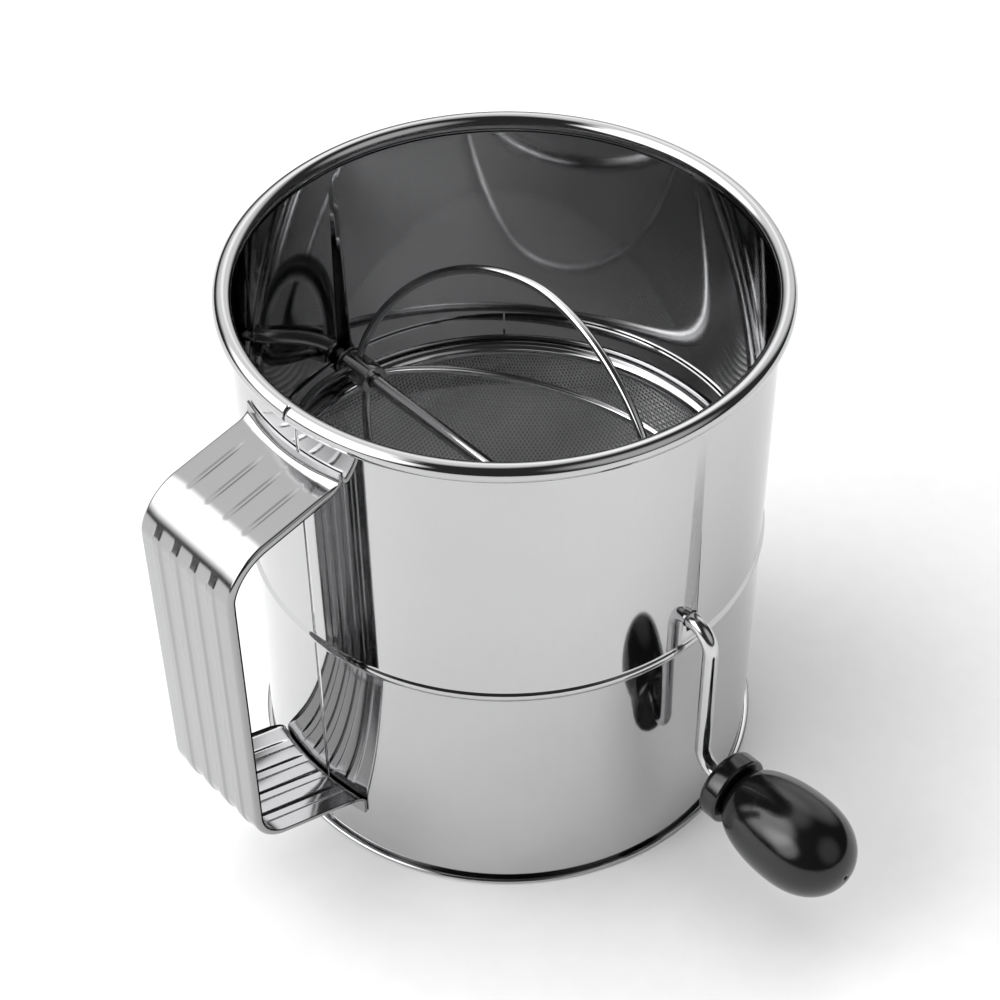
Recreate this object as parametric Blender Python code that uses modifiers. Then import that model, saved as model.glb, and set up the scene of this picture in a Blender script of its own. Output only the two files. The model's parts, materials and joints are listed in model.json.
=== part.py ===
"""Hand-cranked flour sifter: a straight steel can with a corrugated strap handle, a domed wire
screen hanging from a bead in its wall, and a cranked four-wire agitator with a turning knob.

Metres, +Z up. The crank axis is +X from the can, the handle stands on the -Y side, and the
middle of the assembly's footprint is the origin.
"""

import bmesh
import bpy
from math import asin, ceil, cos, degrees, hypot, pi, radians, sin, sqrt, tan
from mathutils import Vector

# ---------------------------------------------------------------- driving dimensions (metres)
CAN_RADIUS = 0.079
CAN_HEIGHT = 0.177
WALL = 0.0005

RIM_TUBE = 0.0028
RIM_SHIFT = 0.00085
RIM_NECK = 0.0019
FOOT_ROLL = 0.0006
FOOT_LAND = 0.00055

BEAD_HEIGHT = 0.086
BEAD_RISE = 0.0008
BEAD_HALF_WIDTH = 0.0022

SCREEN_RING_TUBE = 0.0027
SCREEN_RING_SHEET = 0.0006
SCREEN_RING_SLOT = (198, 250)
SCREEN_BAND_SHEET = 0.0006
SCREEN_BAND_OVER_SHAFT = 0.0013
SCREEN_BAND_JOIN_ANGLE = radians(138.5)
SCREEN_BAND_JOIN_GAP = 0.0006
SCREEN_MESH_SHEET = 0.0006

SHAFT_WIRE = 0.0048
SHAFT_OVER_BEAD = 0.0108
ARM_STANDOFF = 0.0088
CRANK_THROW = 0.0568
CRANK_BEND = 0.008
PEENED_HEAD_RADIUS = 0.0038
PEENED_HEAD_THICKNESS = 0.0014

HOOP_WIRE = 0.0028
HOOP_REACH = 0.065
HOOP_POWER = 1.8
HOOP_LEAN = radians(15.5)
HOOP_STAGGER = 0.003
HUB_RADIUS = 0.0049
WASHER_RADIUS = 0.0052
WASHER_SHEET = 0.0008

KNOB_GAP = 0.0008
KNOB_COLLAR_RADIUS = 0.0111
KNOB_COLLAR_LENGTH = 0.007
KNOB_COLLAR_CHAMFER = 0.0022
KNOB_SPIGOT_RADIUS = 0.0048
KNOB_SPIGOT_LENGTH = 0.008
KNOB_GRIP_RADIUS = 0.015
KNOB_GRIP_LENGTH = 0.0422
KNOB_GRIP_NECK = 0.0064
KNOB_GRIP_BELLY = 0.515
KNOB_VENT_RADIUS = 0.0007

HANDLE_WIDTH = 0.041
HANDLE_STANDOFF = 0.0383
HANDLE_SHEET = 0.0008
HANDLE_TOP_BELOW_RIM = 0.0202
HANDLE_TOP_SLOPE = radians(13)
HANDLE_TOP_BEND = 0.018
HANDLE_BOTTOM_HEIGHT = 0.0254
HANDLE_BOTTOM_SLOPE = radians(17.5)
HANDLE_BOTTOM_BEND = 0.014
HANDLE_TAB_BEND = 0.0026
HANDLE_UPPER_TAB = 0.0025
HANDLE_LOWER_TAB = 0.005
HANDLE_HEM = 0.0016
HANDLE_BEADS = 4
HANDLE_BEAD_HEIGHT = 0.0005
HANDLE_BEAD_START = 0.009
HANDLE_BEAD_WIDTH = 0.0046
HANDLE_BEAD_RUNOUT = 0.008
HANDLE_STEP = 0.025

FIT = 0.0003
RUNNING_FIT = 0.0004
SWEEP_CLEARANCE = 0.0015
RING_SWEEP_CLEARANCE = 0.0009
HOOP_SEAT_CLEARANCE = 0.0007

TURNED_STEPS = 48
SMALL_STEPS = 24

# ---------------------------------------------------------------- derived places and sizes
WALL_MIDDLE = CAN_RADIUS - WALL / 2
WALL_INSIDE = CAN_RADIUS - WALL
RIM_CENTRE = (CAN_RADIUS + RIM_SHIFT, CAN_HEIGHT - RIM_TUBE)
RIM_OUTER = RIM_CENTRE[0] + RIM_TUBE

RING_RADIUS = WALL_INSIDE + BEAD_RISE / 2 - FIT - SCREEN_RING_TUBE
RING_INSIDE = RING_RADIUS - SCREEN_RING_TUBE
SHAFT_RADIUS = SHAFT_WIRE / 2
SHAFT_HEIGHT = BEAD_HEIGHT + SHAFT_OVER_BEAD
BAND_BOTTOM = BEAD_HEIGHT + SCREEN_RING_TUBE + FIT
BAND_TOP = SHAFT_HEIGHT + SCREEN_BAND_OVER_SHAFT
BAND_OUTSIDE = WALL_INSIDE - RUNNING_FIT
BAND_INSIDE = BAND_OUTSIDE - SCREEN_BAND_SHEET

RING_DROP_SHARE = (SHAFT_OVER_BEAD / HOOP_REACH) ** HOOP_POWER
HOOP_NARROWING = (1 - RING_DROP_SHARE) ** (1 / HOOP_POWER)
HOOP_EDGE_AT_RING = RING_INSIDE - RING_SWEEP_CLEARANCE - HOOP_WIRE / 2
HOOP_HALF_LENGTH = (HOOP_EDGE_AT_RING - HOOP_STAGGER) / HOOP_NARROWING
THRUST_FACE = sqrt(BAND_INSIDE ** 2 - WASHER_RADIUS ** 2) - 2 * FIT
HUB_OUTER_END = THRUST_FACE - WASHER_SHEET - FIT
HUB_LENGTH = 2 * (HUB_OUTER_END - HOOP_HALF_LENGTH)

ARM_X = CAN_RADIUS + ARM_STANDOFF
KNOB_START = ARM_X + CRANK_BEND + KNOB_GAP
KNOB_TIP = KNOB_START + KNOB_COLLAR_LENGTH + FIT + KNOB_GRIP_LENGTH
SPINDLE_WASHER_X = KNOB_START + KNOB_COLLAR_LENGTH + KNOB_SPIGOT_LENGTH + FIT
SPINDLE_END = SPINDLE_WASHER_X + WASHER_SHEET + FIT + PEENED_HEAD_THICKNESS
FAR_WASHER_X = -(CAN_RADIUS + FIT + WASHER_SHEET)
FAR_END = FAR_WASHER_X - FIT - PEENED_HEAD_THICKNESS

MESH_DEPTH = HOOP_REACH + HOOP_WIRE / 2 + SWEEP_CLEARANCE
MESH_SEAT_RADIUS = RING_INSIDE + SCREEN_RING_SHEET + 1.5 * FIT
MESH_HALF_WIDTH = MESH_SEAT_RADIUS / sqrt(1 - (SHAFT_OVER_BEAD / MESH_DEPTH) ** 2)
MESH_EDGE_DROP = SHAFT_OVER_BEAD - SCREEN_MESH_SHEET

HANDLE_FACE = CAN_RADIUS + HANDLE_STANDOFF
ASSEMBLY_MIN = Vector((-RIM_OUTER, -HANDLE_FACE, 0))
ASSEMBLY_MAX = Vector((KNOB_TIP, RIM_OUTER, CAN_HEIGHT))
CAN_PLACE = -(ASSEMBLY_MIN + ASSEMBLY_MAX) / 2


# ---------------------------------------------------------------- helpers
def clear_scene():
    for thing in list(bpy.data.objects):
        bpy.data.objects.remove(thing, do_unlink=True)


def new_collection(name):
    group = bpy.data.collections.new(name)
    bpy.context.scene.collection.children.link(group)
    return group


def material(name, colour, roughness, metallic):
    stuff = bpy.data.materials.new(name)
    stuff.use_nodes = True
    shader = stuff.node_tree.nodes["Principled BSDF"]
    shader.inputs["Base Color"].default_value = (*colour, 1)
    shader.inputs["Roughness"].default_value = roughness
    shader.inputs["Metallic"].default_value = metallic
    stuff.diffuse_color = (*colour, 1)
    return stuff


def polished_steel(name):
    return material(name, (0.78, 0.78, 0.79), 0.12, 1)


def steel_wire(name):
    return material(name, (0.72, 0.72, 0.73), 0.2, 1)


def black_plastic(name):
    return material(name, (0.02, 0.02, 0.022), 0.25, 0)


def empty(name, parent, place):
    marker = bpy.data.objects.new(name, None)
    marker.empty_display_size = 0.02
    marker.parent = parent
    marker.location = place
    PARTS.objects.link(marker)
    return marker


def add_part(thing, parent, stuff, group=None):
    """Puts a new object in the parts' collection under its parent, with its one material."""
    (group or PARTS).objects.link(thing)
    thing.parent = parent
    thing.data.materials.clear()
    thing.data.materials.append(stuff)
    return thing


def mesh_object(name, bm):
    mesh = bpy.data.meshes.new(name)
    bm.to_mesh(mesh)
    bm.free()
    return bpy.data.objects.new(name, mesh)


def smooth(thing, sharpest=40):
    thing.data.shade_smooth()
    thing.data.set_sharp_from_angle(angle=radians(sharpest))
    return thing


def profile_object(name, points, closed):
    """A profile of (radius, height) points in the XZ plane, as a line of edges."""
    bm = bmesh.new()
    corners = [bm.verts.new((radius, 0, height)) for radius, height in points]
    for first, second in zip(corners, corners[1:]):
        bm.edges.new((first, second))
    if closed:
        bm.edges.new((corners[-1], corners[0]))
    return mesh_object(name, bm)


def add_screw(thing, steps=TURNED_STEPS, angle=2 * pi):
    turn = thing.modifiers.new("turn", "SCREW")
    turn.axis = "Z"
    turn.angle = angle
    turn.steps = steps
    turn.render_steps = steps
    turn.use_merge_vertices = True
    turn.merge_threshold = 1e-5
    turn.use_smooth_shade = True
    return turn


def turned(name, points, closed=True, steps=TURNED_STEPS):
    """A turned piece. The points run down the outer side, then back up the bore."""
    thing = profile_object(name, points, closed)
    add_screw(thing, steps)
    return thing


def lay_along_x(thing, place):
    """Turns a piece's own +Z to point along +X."""
    thing.rotation_euler = (0, pi / 2, 0)
    thing.location = place
    return thing


def arc(centre, radius, start, stop, count):
    """Points on an arc, as (across, up), from one angle to another in degrees."""
    angles = [radians(start + (stop - start) * i / (count - 1)) for i in range(count)]
    return [(centre[0] + radius * cos(a), centre[1] + radius * sin(a)) for a in angles]


def wire(name, points, diameter):
    """A round wire along the points, as a curve with closed ends."""
    curve = bpy.data.curves.new(name, "CURVE")
    curve.dimensions = "3D"
    curve.bevel_depth = diameter / 2
    curve.bevel_resolution = 2
    curve.use_fill_caps = True
    spline = curve.splines.new("POLY")
    spline.points.add(len(points) - 1)
    for point, place in zip(spline.points, points):
        point.co = (*place, 1)
    return bpy.data.objects.new(name, curve)


def wire_as_mesh(thing):
    """The wire as a closed mesh in the same place, so that it can be joined or cut."""
    thing.parent = None
    PARTS.objects.link(thing)
    bpy.context.view_layer.update()
    evaluated = thing.evaluated_get(bpy.context.evaluated_depsgraph_get())
    mesh = bpy.data.meshes.new_from_object(evaluated)
    bm = bmesh.new()
    bm.from_mesh(mesh)
    bmesh.ops.remove_doubles(bm, verts=bm.verts, dist=1e-6)
    bm.to_mesh(mesh)
    bm.free()
    solid = bpy.data.objects.new(thing.name, mesh)
    solid.matrix_world = thing.matrix_world
    name = thing.name
    bpy.data.objects.remove(thing, do_unlink=True)
    solid.name = name
    return solid


def rod_cutter(name, parent, radius, start, stop, steps=SMALL_STEPS):
    """A round cutter or addition between two points of its parent's space."""
    start, stop = Vector(start), Vector(stop)
    bm = bmesh.new()
    bmesh.ops.create_cone(bm, cap_ends=True, segments=steps, radius1=radius, radius2=radius,
                          depth=(stop - start).length)
    tool = mesh_object(name, bm)
    tool.rotation_euler = Vector((0, 0, 1)).rotation_difference(stop - start).to_euler()
    tool.location = (start + stop) / 2
    tool.parent = parent
    tool.hide_render = True
    tool.display_type = "WIRE"
    CUTTERS.objects.link(tool)
    return tool


def block_cutter(name, parent, size, place, turn=0):
    bm = bmesh.new()
    bmesh.ops.create_cube(bm, size=1)
    bmesh.ops.scale(bm, vec=size, verts=bm.verts)
    tool = mesh_object(name, bm)
    tool.rotation_euler = (0, 0, turn)
    tool.location = place
    tool.parent = parent
    tool.hide_render = True
    tool.display_type = "WIRE"
    CUTTERS.objects.link(tool)
    return tool


def combine(thing, tool, how):
    change = thing.modifiers.new(tool.name, "BOOLEAN")
    change.operation = how
    change.solver = "EXACT"
    change.object = tool


# ---------------------------------------------------------------- the can
def rim_curl():
    """The middle line of the rolled rim, from its outer lip over the top to the neck."""
    roll = RIM_TUBE - WALL / 2
    curl = arc(RIM_CENTRE, roll, -85, 222, 9)
    join = curl[-1]
    neck_foot = join[1] - RIM_NECK
    return curl + [((join[0] + 2 * WALL_MIDDLE) / 3, join[1] - RIM_NECK / 2), (WALL_MIDDLE, neck_foot)]


def wall_bead():
    """The outward bead that the screen ring seats in."""
    count = 5
    line = []
    for i in range(count):
        along = 1 - 2 * i / (count - 1)
        rise = BEAD_RISE * (1 + cos(pi * along)) / 2
        line.append((WALL_MIDDLE + rise, BEAD_HEIGHT + along * BEAD_HALF_WIDTH))
    return line


def foot_roll():
    """The rolled foot: out along a flat land and back up over itself."""
    low = WALL / 2
    inner = arc((WALL_MIDDLE + FOOT_ROLL, low + FOOT_ROLL), FOOT_ROLL, 180, 270, 3)
    outer = arc((WALL_MIDDLE + FOOT_ROLL + FOOT_LAND, low + FOOT_ROLL), FOOT_ROLL, -90, 90, 4)
    return inner + outer


def make_body_shell(parent):
    line = rim_curl() + wall_bead() + foot_roll()
    shell = profile_object("body_shell", line, closed=False)
    add_screw(shell)
    sheet = shell.modifiers.new("sheet", "SOLIDIFY")
    sheet.thickness = WALL
    sheet.offset = 0
    sheet.use_even_offset = True
    add_part(shell, parent, polished_steel("body_steel"))
    hole = SHAFT_RADIUS + RUNNING_FIT
    reach = CAN_RADIUS * 1.2
    for side, name in ((1, "shaft_hole_near"), (-1, "shaft_hole_far")):
        start = (side * CAN_RADIUS / 2, 0, SHAFT_HEIGHT)
        cutter = rod_cutter(name, parent, hole, start, (side * reach, 0, SHAFT_HEIGHT))
        combine(shell, cutter, "DIFFERENCE")
    return shell


def make_rim_wire(parent):
    """The wire that the rim is rolled over."""
    size = RIM_TUBE - WALL - FIT
    section = arc(RIM_CENTRE, size, 90, -225, 8)
    thing = turned("rim_wire", section)
    return add_part(thing, parent, steel_wire("rim_wire_steel"))


# ---------------------------------------------------------------- the screen
def make_screen_ring(parent):
    """The rolled ring that seats in the bead, with a slot below that grips the screen's edge."""
    low, high = SCREEN_RING_SLOT
    centre = (RING_RADIUS, BEAD_HEIGHT)
    outside = arc(centre, SCREEN_RING_TUBE, low, high - 360, 10)
    inside = arc(centre, SCREEN_RING_TUBE - SCREEN_RING_SHEET, high - 360, low, 9)
    thing = turned("screen_ring", outside + inside)
    return add_part(thing, parent, polished_steel("screen_ring_steel"))


def make_screen_band(parent):
    """A flat strip bent into a ring, with a butt join, that holds the screen ring down.

    It stands a little higher than the shaft's axis, so it is notched for the shaft.
    """
    outer, inner = BAND_OUTSIDE, BAND_INSIDE
    height = BAND_TOP - BAND_BOTTOM
    section = [(outer, BAND_TOP), (outer, BAND_BOTTOM), (inner, BAND_BOTTOM), (inner, BAND_TOP)]
    band = turned("screen_band", section)
    add_part(band, parent, polished_steel("screen_band_steel"))
    turn = SCREEN_BAND_JOIN_ANGLE
    through = SCREEN_BAND_SHEET * 8
    size = (through, SCREEN_BAND_JOIN_GAP, height * 1.5)
    place = (outer * cos(turn), outer * sin(turn), BAND_BOTTOM + height / 2)
    combine(band, block_cutter("screen_band_join", parent, size, place, turn), "DIFFERENCE")
    notch = SHAFT_RADIUS + RUNNING_FIT
    for side, name in ((1, "band_notch_near"), (-1, "band_notch_far")):
        start = (side * (inner - through), 0, SHAFT_HEIGHT)
        stop = (side * (outer + through), 0, SHAFT_HEIGHT)
        combine(band, rod_cutter(name + "_foot", parent, notch, start, stop), "DIFFERENCE")
        size = (through, 2 * notch, height)
        place = (side * outer, 0, SHAFT_HEIGHT + height / 2)
        combine(band, block_cutter(name, parent, size, place), "DIFFERENCE")
    return band


def make_screen_mesh(parent):
    """The domed screen, as a thin bowl that the agitator's hoops sweep with a small gap."""
    rim_angle = asin(MESH_EDGE_DROP / MESH_DEPTH)
    count = 10
    line = []
    for i in range(count):
        angle = rim_angle + (pi / 2 - rim_angle) * i / (count - 1)
        radius = MESH_HALF_WIDTH * cos(angle) if i < count - 1 else 0
        line.append((radius, SHAFT_HEIGHT - MESH_DEPTH * sin(angle)))
    bowl = profile_object("screen_mesh", line, closed=False)
    add_screw(bowl)
    sheet = bowl.modifiers.new("sheet", "SOLIDIFY")
    sheet.thickness = SCREEN_MESH_SHEET
    sheet.offset = 1
    return add_part(bowl, parent, material("mesh_steel", (0.35, 0.35, 0.36), 0.5, 1))


# ---------------------------------------------------------------- the handle
def handle_line():
    """The middle line of the strap as (distance from the can's axis, height).

    It starts at the top of the upper tab, which stands up against the wall, goes out over the
    top, down the grip and back in to the lower tab, which hangs down against the wall.
    """
    half = HANDLE_SHEET / 2
    tab = CAN_RADIUS + FIT + half
    face = HANDLE_FACE - half
    bend = HANDLE_TAB_BEND
    top_edge = CAN_HEIGHT - HANDLE_TOP_BELOW_RIM - half
    up, down = HANDLE_TOP_SLOPE, HANDLE_BOTTOM_SLOPE

    upper_centre = (tab + bend, top_edge + bend)
    upper_tab = [(tab, upper_centre[1] + HANDLE_UPPER_TAB)]
    upper_tab += arc(upper_centre, bend, 180, 270 - degrees(up), 4)
    plate_start = upper_tab[-1]
    corner_z = plate_start[1] - tan(up) * (face - plate_start[0])
    setback = HANDLE_TOP_BEND * tan((pi / 2 - up) / 2)
    top_bend = arc((face - HANDLE_TOP_BEND, corner_z - setback), HANDLE_TOP_BEND, 90 - degrees(up), 0, 7)

    low_edge = HANDLE_BOTTOM_HEIGHT + half
    lower_centre = (tab + bend, low_edge - bend)
    lower_tab = arc(lower_centre, bend, 90 + degrees(down), 180, 4)
    lower_tab.append((tab, lower_centre[1] - HANDLE_LOWER_TAB))
    low_corner = lower_tab[0][1] + tan(down) * (face - lower_tab[0][0])
    low_setback = HANDLE_BOTTOM_BEND * tan((pi / 2 - down) / 2)
    low_bend = arc((face - HANDLE_BOTTOM_BEND, low_corner + low_setback), HANDLE_BOTTOM_BEND,
                   0, degrees(down) - 90, 6)
    return upper_tab + top_bend + low_bend + lower_tab


def refine(line, longest):
    """The line with its straight runs cut into shorter steps."""
    fine = [line[0]]
    for start, stop in zip(line, line[1:]):
        steps = max(1, ceil(hypot(stop[0] - start[0], stop[1] - start[1]) / longest))
        for i in range(1, steps + 1):
            share = i / steps
            fine.append((start[0] + (stop[0] - start[0]) * share, start[1] + (stop[1] - start[1]) * share))
    return fine


def strap_section():
    """Stations across the strap as (across, depth of the turned edge, share of a raised bead)."""
    half = HANDLE_WIDTH / 2 - HANDLE_SHEET / 2
    pitch = HANDLE_WIDTH / (HANDLE_BEADS + 1)
    section = [(-half, HANDLE_HEM, 0), (-half, HANDLE_HEM / 3, 0), (-half + HANDLE_HEM / 2, 0, 0)]
    for i in range(HANDLE_BEADS):
        middle = (i - (HANDLE_BEADS - 1) / 2) * pitch
        for side, share in ((-1, 0), (-0.45, 1), (0.45, 1), (1, 0)):
            section.append((middle + side * HANDLE_BEAD_WIDTH / 2, 0, share))
    section += [(half - HANDLE_HEM / 2, 0, 0), (half, HANDLE_HEM / 3, 0), (half, HANDLE_HEM, 0)]
    return section


def make_handle_strap(parent):
    line = refine(handle_line(), HANDLE_STEP)
    section = strap_section()
    lengths = [0]
    for start, stop in zip(line, line[1:]):
        lengths.append(lengths[-1] + hypot(stop[0] - start[0], stop[1] - start[1]))
    grip_out = HANDLE_FACE - HANDLE_SHEET / 2 - 1e-7
    grip_start = next(at for at, point in zip(lengths, line) if point[0] > grip_out)
    bm = bmesh.new()
    bmesh.ops.create_grid(bm, x_segments=len(section) - 1, y_segments=len(line) - 1, size=0.5)
    bm.verts.ensure_lookup_table()
    columns = len(section)
    for index, vert in enumerate(bm.verts):
        row, column = divmod(index, columns)
        before = line[max(row - 1, 0)]
        after = line[min(row + 1, len(line) - 1)]
        heading = Vector((after[0] - before[0], after[1] - before[1])).normalized()
        inward = Vector((heading[1], -heading[0]))
        from_end = min(lengths[row] - HANDLE_UPPER_TAB, lengths[-1] - lengths[row] - HANDLE_LOWER_TAB)
        runout = min(max(from_end / HANDLE_BEAD_RUNOUT, 0), 1)
        wall_share = 1 - runout * runout * (3 - 2 * runout)
        across, hem, bead = section[column]
        sunk = min(max(1 + (lengths[row] - grip_start) / HANDLE_BEAD_START, 0), 1) * (1 - bead)
        depth = (hem + sunk * HANDLE_BEAD_HEIGHT) * (1 - wall_share)
        sag = CAN_RADIUS - sqrt(CAN_RADIUS ** 2 - across ** 2)
        out = line[row][0] + inward[0] * depth - sag * wall_share
        up = line[row][1] + inward[1] * depth
        vert.co = (across, -out, up)
    strap = mesh_object("handle_strap", bm)
    sheet = strap.modifiers.new("sheet", "SOLIDIFY")
    sheet.thickness = HANDLE_SHEET
    sheet.offset = 0
    add_part(strap, parent, polished_steel("handle_steel"))
    return smooth(strap)


# ---------------------------------------------------------------- the crank and agitator
def crank_line():
    """The rod's middle line: the shaft, the arm and the knob's spindle, with round bends."""
    bend = CRANK_BEND
    upper = arc((ARM_X - bend, -bend), bend, 90, 0, 7)
    lower = arc((ARM_X + bend, bend - CRANK_THROW), bend, 180, 270, 7)
    flat = [(FAR_END, 0)] + upper + lower + [(SPINDLE_END, -CRANK_THROW)]
    return [(x, 0, z) for x, z in flat]


def make_crank_rod(parent):
    rod = wire_as_mesh(wire("crank_rod", crank_line(), SHAFT_WIRE))
    add_part(rod, parent, steel_wire("crank_steel"))
    heads = (("far_head", FAR_END, 1, 0), ("spindle_head", SPINDLE_END, -1, -CRANK_THROW))
    for name, end, inward, z in heads:
        skin = 0.0002 * inward
        inner = end + inward * PEENED_HEAD_THICKNESS
        tool = rod_cutter(name, parent, PEENED_HEAD_RADIUS, (end - skin, 0, z), (inner, 0, z))
        combine(rod, tool, "UNION")
    return smooth(rod)


def hoop_direction(index):
    """The way that a hoop points from the shaft, as (along Y, up)."""
    angle = HOOP_LEAN + index * pi / 2
    return sin(angle), cos(angle)


def hoop_shift(index):
    return HOOP_STAGGER if index in (1, 2) else -HOOP_STAGGER


def hoop_line(index):
    """A half hoop between the hubs, on a flattened ellipse whose ends stand on the shaft.

    Hoops 0 and 3 sit a little nearer the far end and hoops 1 and 2 nearer the crank, so that
    each hub holds its four ends in two rows.
    """
    side, up = hoop_direction(index)
    seat = SHAFT_RADIUS + 2 * FIT
    start = asin((seat / HOOP_REACH) ** (HOOP_POWER / 2))
    count = 21
    line = []
    for i in range(count):
        angle = start + (pi - 2 * start) * i / (count - 1)
        along = abs(cos(angle)) ** (2 / HOOP_POWER)
        x = hoop_shift(index) + HOOP_HALF_LENGTH * along * (1 if i < count / 2 else -1)
        reach = HOOP_REACH * sin(angle) ** (2 / HOOP_POWER)
        line.append((x, side * reach, up * reach))
    return line


def make_agitator_wire(index, parent):
    thing = wire(f"agitator_wire_{index + 1}", hoop_line(index), HOOP_WIRE)
    return add_part(thing, parent, steel_wire(f"agitator_wire_steel_{index + 1}"))


def make_hub(name, side, parent):
    """A sleeve on the shaft, with four seats drilled round it for the hoops' ends."""
    bm = bmesh.new()
    bmesh.ops.create_cone(bm, cap_ends=True, segments=SMALL_STEPS, radius1=HUB_RADIUS,
                          radius2=HUB_RADIUS, depth=HUB_LENGTH)
    hub = lay_along_x(mesh_object(name, bm), (side * HOOP_HALF_LENGTH, 0, 0))
    add_part(hub, parent, polished_steel(name + "_steel"))
    x = side * HOOP_HALF_LENGTH
    end = HUB_LENGTH
    bore = rod_cutter(name + "_bore", parent, SHAFT_RADIUS + FIT, (x - end, 0, 0), (x + end, 0, 0))
    combine(hub, bore, "DIFFERENCE")
    seat = HOOP_WIRE / 2 + HOOP_SEAT_CLEARANCE
    for index in range(4):
        y, z = hoop_direction(index)
        reach = HUB_RADIUS * 1.5
        row = x + hoop_shift(index)
        start, stop = (row, 0, 0), (row, y * reach, z * reach)
        cutter = rod_cutter(f"{name}_seat_{index + 1}", parent, seat, start, stop)
        combine(hub, cutter, "DIFFERENCE")
    return smooth(hub)


def make_washer(name, start, parent, height=0, radius=WASHER_RADIUS):
    """A plain washer on the rod, from start along +X."""
    bore = SHAFT_RADIUS + FIT
    sheet = WASHER_SHEET
    section = [(radius, sheet), (radius, 0), (bore, 0), (bore, sheet)]
    washer = lay_along_x(turned(name, section, steps=SMALL_STEPS), (start, 0, height))
    return add_part(washer, parent, steel_wire(name + "_steel"))


# ---------------------------------------------------------------- the knob
def make_knob_collar(parent):
    """The flanged collar next to the arm, with the spigot that the grip is pressed on."""
    bore = SHAFT_RADIUS + RUNNING_FIT
    length = KNOB_COLLAR_LENGTH
    bevel = KNOB_COLLAR_CHAMFER
    section = [
        (KNOB_SPIGOT_RADIUS, length + KNOB_SPIGOT_LENGTH),
        (KNOB_SPIGOT_RADIUS, length),
        (KNOB_COLLAR_RADIUS - bevel / 2, length),
        (KNOB_COLLAR_RADIUS, length - bevel / 2),
        (KNOB_COLLAR_RADIUS, bevel),
        (KNOB_COLLAR_RADIUS - bevel, 0),
        (bore, 0),
        (bore, length + KNOB_SPIGOT_LENGTH),
    ]
    collar = lay_along_x(turned("knob_collar", section, steps=SMALL_STEPS), (KNOB_START, 0, 0))
    return add_part(collar, parent, black_plastic("collar_plastic"))


def grip_radius(share):
    """The grip's radius at a share of its length: a neck, an egg-shaped belly and a round end."""
    neck = KNOB_GRIP_NECK / KNOB_GRIP_RADIUS
    belly = KNOB_GRIP_BELLY
    if share > belly:
        reach = (share - belly) / (1 - belly)
        return KNOB_GRIP_RADIUS * sqrt(max(1 - reach ** 2.4, 0))
    reach = (belly - share) / belly
    return KNOB_GRIP_RADIUS * (neck + (1 - neck) * sqrt(1 - reach ** 2))


def make_knob_grip(parent):
    """The egg-shaped grip, hollow from its neck for the spigot and the spindle's head."""
    count = 16
    shares = [1 - (1 - cos(pi / 2 * i / (count - 1))) for i in range(count)]
    bore = KNOB_SPIGOT_RADIUS + FIT
    cavity = SPINDLE_END - KNOB_START - KNOB_COLLAR_LENGTH + PEENED_HEAD_THICKNESS
    vent_share = 1 - (KNOB_VENT_RADIUS / KNOB_GRIP_RADIUS) ** 2 / 2
    outside = [(KNOB_VENT_RADIUS, KNOB_GRIP_LENGTH * vent_share)]
    for share in shares[1:]:
        outside.append((grip_radius(share), KNOB_GRIP_LENGTH * share))
    inside = [(bore, 0), (bore, cavity), (KNOB_VENT_RADIUS, cavity + bore)]
    place = (KNOB_START + KNOB_COLLAR_LENGTH + FIT, 0, 0)
    grip = lay_along_x(turned("knob_grip", outside + inside, steps=SMALL_STEPS), place)
    return add_part(grip, parent, black_plastic("grip_plastic"))


# ---------------------------------------------------------------- the assembly
clear_scene()
PARTS = new_collection("flour_sifter")
CUTTERS = new_collection("cutters")

can_axis = empty("can_axis", None, (CAN_PLACE.x, CAN_PLACE.y, 0))
crank_axis = empty("crank_axis", can_axis, (0, 0, SHAFT_HEIGHT))
knob_axis = empty("knob_axis", crank_axis, (0, 0, -CRANK_THROW))

make_body_shell(can_axis)
make_rim_wire(can_axis)
make_handle_strap(can_axis)
make_screen_ring(can_axis)
make_screen_band(can_axis)
make_screen_mesh(can_axis)

make_crank_rod(crank_axis)
for hoop in range(4):
    make_agitator_wire(hoop, crank_axis)
make_hub("hub_near", 1, crank_axis)
make_hub("hub_far", -1, crank_axis)
make_washer("thrust_washer_near", THRUST_FACE - WASHER_SHEET, crank_axis)
make_washer("thrust_washer_far", -THRUST_FACE, crank_axis)
make_washer("end_washer", FAR_WASHER_X, crank_axis)
make_washer("knob_washer", SPINDLE_WASHER_X, crank_axis, -CRANK_THROW, KNOB_SPIGOT_RADIUS - FIT)

make_knob_collar(knob_axis)
make_knob_grip(knob_axis)
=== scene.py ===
"""The looks of the hand-cranked flour sifter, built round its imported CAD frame.

Metres, +Z up, in the CAD's own frame. Each piece is rebuilt here with a fine surface in the place
of its plain CAD node, and the screen becomes real woven wire. Only the rim's wire keeps its node.
"""

import json
from math import asin, cos, degrees, hypot, pi, radians, sin, sqrt, tan

import bmesh
import bpy
import numpy as np
from mathutils import Matrix, Vector


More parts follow.
